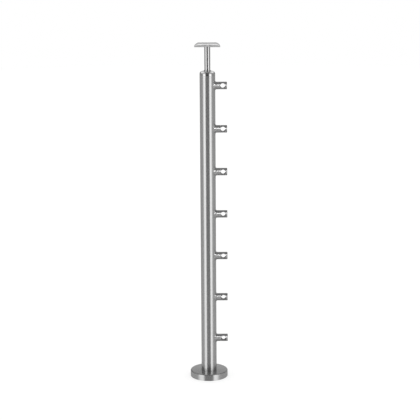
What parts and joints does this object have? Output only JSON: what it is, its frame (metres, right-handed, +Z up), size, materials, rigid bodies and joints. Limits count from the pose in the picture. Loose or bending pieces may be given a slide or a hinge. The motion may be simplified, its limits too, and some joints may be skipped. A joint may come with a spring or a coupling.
{
  "type": "railing post",
  "caption": "Round stainless railing post with a row of bar holders on one side, a domed end cap, a swivelling handrail saddle and a round foot under a sliding cover.",
  "frame": {"origin": "centre of the base plate's underside, on the tube's axis at floor level", "axes": "+Z up along the tube; +X towards the bar holders; the bars run along Y"},
  "size_m": [0.1047, 0.104, 0.9401],
  "materials": {
    "brushed_tube": "satin, fine grind round the tube",
    "plate_steel": "dull, as rolled and welded",
    "cover_steel": "satin, spun",
    "turned_steel": "satin, turned",
    "saddle_steel": "satin, ground along its length",
    "fastener_steel": "plain stainless"
  },
  "bodies": {
    "post": {"post_tube": "brushed_tube", "base_plate": "plate_steel", "end_cap": "turned_steel", "bar_holder_1": "turned_steel", "holder_screw_1": "fastener_steel", "rivet_nut_1": "fastener_steel", "clamp_screw_1": "fastener_steel", "bar_holder_2": "turned_steel", "holder_screw_2": "fastener_steel", "rivet_nut_2": "fastener_steel", "clamp_screw_2": "fastener_steel", "bar_holder_3": "turned_steel", "holder_screw_3": "fastener_steel", "rivet_nut_3": "fastener_steel", "clamp_screw_3": "fastener_steel", "bar_holder_4": "turned_steel", "holder_screw_4": "fastener_steel", "rivet_nut_4": "fastener_steel", "clamp_screw_4": "fastener_steel", "bar_holder_5": "turned_steel", "holder_screw_5": "fastener_steel", "rivet_nut_5": "fastener_steel", "clamp_screw_5": "fastener_steel", "bar_holder_6": "turned_steel", "holder_screw_6": "fastener_steel", "rivet_nut_6": "fastener_steel", "clamp_screw_6": "fastener_steel", "bar_holder_7": "turned_steel", "holder_screw_7": "fastener_steel", "rivet_nut_7": "fastener_steel", "clamp_screw_7": "fastener_steel"},
    "cover": {"base_cover": "cover_steel"},
    "handrail_support": {"support_stem": "turned_steel", "handrail_saddle": "saddle_steel"}
  },
  "joints": [
    {"name": "cover_lift", "type": "slide", "parent": "post", "child": "cover", "axis": [0, 0, 1], "range_m": [0, 0.078]},
    {"name": "support_swivel", "type": "hinge", "parent": "post", "child": "handrail_support", "pos_m": [0, 0, 0.8648], "axis": [0, 0, 1], "continuous": true}
  ]
}
